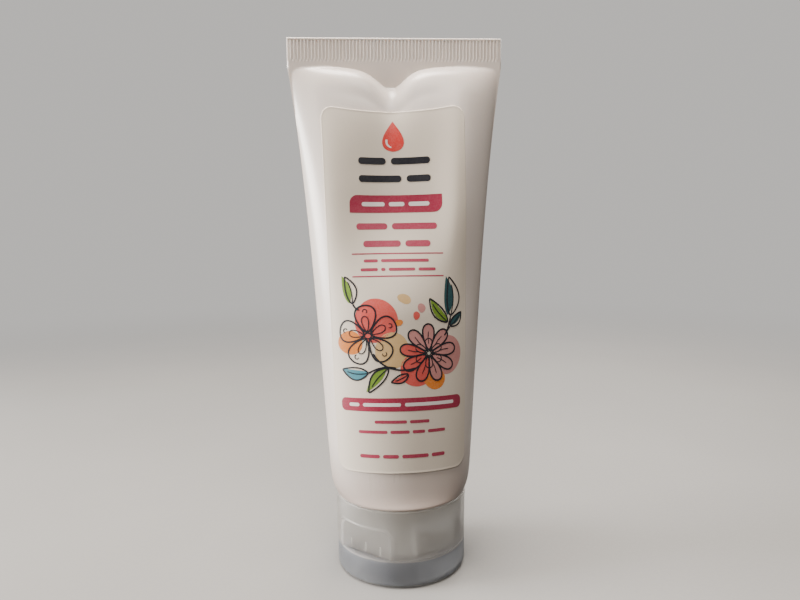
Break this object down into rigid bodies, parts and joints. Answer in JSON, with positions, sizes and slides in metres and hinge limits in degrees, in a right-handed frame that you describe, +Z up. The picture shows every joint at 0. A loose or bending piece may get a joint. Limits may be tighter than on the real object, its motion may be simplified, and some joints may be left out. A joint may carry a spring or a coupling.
{
  "type": "shaving cream tube",
  "caption": "Soft plastic squeeze tube of shaving cream with a flat crimped end and a label, standing on its round flip-top cap.",
  "frame": {"origin": "centre of the lid's flat outer face, which the tube stands on", "axes": "+Z up the tube from cap to crimp, front label faces -Y, crimp runs along X"},
  "size_m": [0.0624, 0.04, 0.158],
  "materials": {
    "sleeve_plastic": "satin extruded polyethylene, opaque off-white",
    "head_plastic": "moulded polyethylene, natural white",
    "cream": "soft white cream",
    "label_film": "printed self-adhesive film",
    "cap_plastic": "translucent natural polypropylene with a fine matt texture"
  },
  "bodies": {
    "tube": {"tube_sleeve": "sleeve_plastic", "tube_head": "head_plastic", "cream_fill": "cream", "front_label": "label_film", "back_label": "label_film"},
    "cap": {"cap_base": "cap_plastic", "hinge_strap_left": "cap_plastic", "hinge_strap_right": "cap_plastic", "hinge_snap_strap": "cap_plastic"},
    "lid": {"cap_lid": "cap_plastic"}
  },
  "joints": [
    {"name": "cap_turn", "type": "hinge", "parent": "tube", "child": "cap", "pos_m": [0, 0, 0.0144], "axis": [0, 0, 1], "continuous": true},
    {"name": "lid_hinge", "type": "hinge", "parent": "cap", "child": "lid", "pos_m": [0.01184, 0.01376, 0.0085], "axis": [0.7581, -0.6521, 0], "range_deg": [0, 150], "deforming": ["hinge_strap_left", "hinge_strap_right", "hinge_snap_strap"]}
  ]
}
